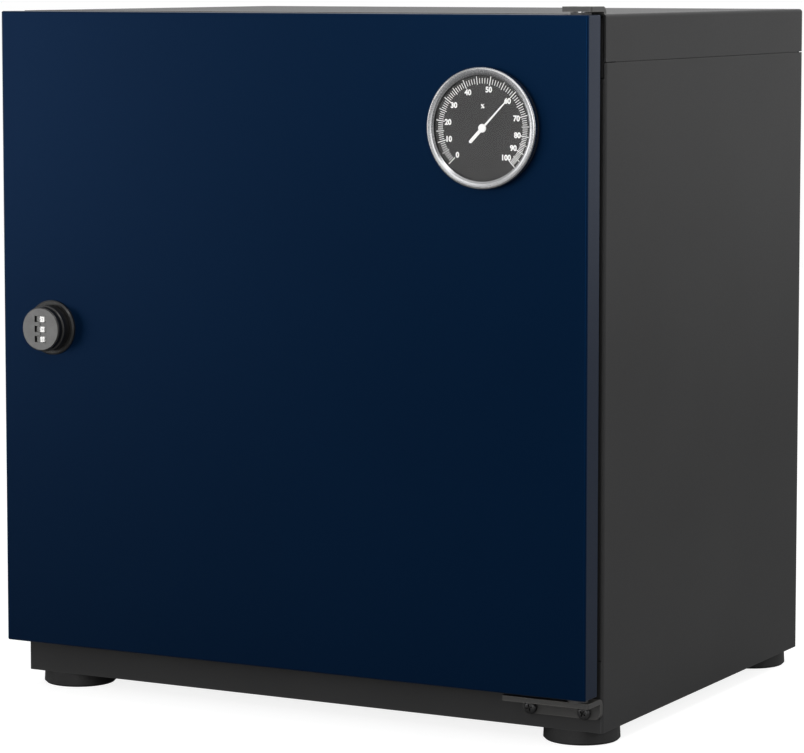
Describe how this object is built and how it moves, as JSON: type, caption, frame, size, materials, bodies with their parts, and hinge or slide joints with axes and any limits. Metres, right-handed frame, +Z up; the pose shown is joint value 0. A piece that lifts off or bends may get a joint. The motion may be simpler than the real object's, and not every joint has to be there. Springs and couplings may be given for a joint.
{
  "type": "desiccator cabinet",
  "caption": "Free-standing steel desiccator cabinet with a hinged door, dial hygrometer, combination knob lock, shelves and a drying unit.",
  "frame": {"origin": "middle of the overall box, on the floor under the feet", "axes": "+X to the right as seen from the front, +Y to the back, +Z up; the door faces -Y"},
  "size_m": [0.4, 0.3396, 0.4294],
  "materials": {
    "body_paint": "satin dark grey powder coat",
    "door_paint": "satin navy powder coat",
    "liner_paint": "matt dark grey powder coat",
    "shelf_paint": "fine-textured grey powder coat",
    "bracket_paint": "satin black powder coat",
    "black_screws": "black oxide",
    "zinc_steel": "bright zinc plate",
    "pin_steel": "ground steel",
    "nylon": "black nylon",
    "foot_rubber": "matt black rubber",
    "gasket_rubber": "soft black magnetic gasket",
    "bezel_chrome": "polished",
    "gauge_plastic": "black moulded",
    "dial_face": "matt dark grey with a white scale",
    "lens_glass": "clear",
    "pointer_white": "matt white",
    "gauge_brass": "plain",
    "lock_black": "black die-cast",
    "wheel_nickel": "nickel plate",
    "dryer_plastic": "black moulded",
    "heater_aluminium": "extruded",
    "basket_steel": "plain",
    "desiccant": "desiccant beads"
  },
  "bodies": {
    "cabinet": {"back_panel": "body_paint", "base_plate": "body_paint", "desiccant_basket": "basket_steel", "desiccant_fill": "desiccant", "dryer_heater": "heater_aluminium", "dryer_housing": "dryer_plastic", "floor_shelf": "shelf_paint", "foot_front_left": "foot_rubber", "foot_front_right": "foot_rubber", "foot_nuts": "zinc_steel", "foot_rear_left": "foot_rubber", "foot_rear_right": "foot_rubber", "foot_screws": "zinc_steel", "front_rail": "body_paint", "header": "body_paint", "hinge_bracket_bottom": "bracket_paint", "hinge_bracket_top": "bracket_paint", "hinge_pin_bottom": "pin_steel", "hinge_pin_top": "pin_steel", "hinge_screws_bottom": "black_screws", "hinge_screws_top": "black_screws", "inlet_pins": "gauge_brass", "lock_strike": "zinc_steel", "lower_shelf": "shelf_paint", "power_inlet": "dryer_plastic", "rear_screws": "black_screws", "shelf_rack_left": "shelf_paint", "shelf_rack_right": "shelf_paint", "side_panel_left": "body_paint", "side_panel_right": "body_paint", "top_cover": "body_paint", "upper_shelf": "shelf_paint"},
    "door": {"door_skin": "door_paint", "door_liner": "liner_paint", "door_stiffener": "zinc_steel", "door_gasket": "gasket_rubber", "hinge_bush_top": "nylon", "hinge_bush_bottom": "nylon", "gauge_case": "gauge_plastic", "gauge_bezel": "bezel_chrome", "gauge_lens": "lens_glass", "gauge_dial": "dial_face", "gauge_movement": "gauge_brass", "gauge_coil": "gauge_brass", "gauge_clamp_ring": "gauge_plastic", "lock_barrel": "lock_black", "lock_nut": "zinc_steel"},
    "pointer": {"gauge_pointer": "pointer_white"},
    "knob": {"lock_knob": "lock_black", "wheel_axle": "pin_steel", "lock_cam": "zinc_steel", "cam_screw": "zinc_steel"},
    "wheel_1": {"code_wheel_1": "wheel_nickel"},
    "wheel_2": {"code_wheel_2": "wheel_nickel"},
    "wheel_3": {"code_wheel_3": "wheel_nickel"},
    "inner_shutter": {"inner_shutter": "dryer_plastic"},
    "outer_shutter": {"outer_shutter": "dryer_plastic"},
    "shutter_link": {"shutter_link": "dryer_plastic"}
  },
  "joints": [
    {"name": "door_hinge", "type": "hinge", "parent": "cabinet", "child": "door", "pos_m": [0.1915, -0.14745, 0.23], "axis": [0, 0, 1], "range_deg": [0, 115]},
    {"name": "lock_turn", "type": "hinge", "parent": "door", "child": "knob", "pos_m": [-0.1638, -0.15595, 0.2305], "axis": [0, 1, 0], "range_deg": [0, 90]},
    {"name": "wheel_1_spin", "type": "hinge", "parent": "knob", "child": "wheel_1", "pos_m": [-0.1638, -0.16465, 0.2367], "axis": [0, 0, 1], "continuous": true},
    {"name": "wheel_2_spin", "type": "hinge", "parent": "knob", "child": "wheel_2", "pos_m": [-0.1638, -0.16465, 0.2305], "axis": [0, 0, 1], "continuous": true},
    {"name": "wheel_3_spin", "type": "hinge", "parent": "knob", "child": "wheel_3", "pos_m": [-0.1638, -0.16465, 0.2243], "axis": [0, 0, 1], "continuous": true},
    {"name": "pointer_sweep", "type": "hinge", "parent": "door", "child": "pointer", "pos_m": [0.135, -0.15595, 0.3598], "axis": [0, 1, 0], "range_deg": [-178, 93]},
    {"name": "inner_shutter_swing", "type": "hinge", "parent": "cabinet", "child": "inner_shutter", "pos_m": [0, 0.07865, 0.0412], "axis": [1, 0, 0], "range_deg": [-55, 0]},
    {"name": "outer_shutter_swing", "type": "hinge", "parent": "cabinet", "child": "outer_shutter", "pos_m": [0, 0.16065, 0.0412], "axis": [1, 0, 0], "range_deg": [-55, 0]},
    {"name": "link_swing", "type": "hinge", "parent": "inner_shutter", "child": "shutter_link", "pos_m": [0.0738, 0.07865, 0.0322], "axis": [1, 0, 0], "range_deg": [0, 55]}
  ],
  "couplings": [
    {"joint": "outer_shutter_swing", "follows": "inner_shutter_swing", "ratio": 1},
    {"joint": "link_swing", "follows": "inner_shutter_swing", "ratio": -1}
  ]
}
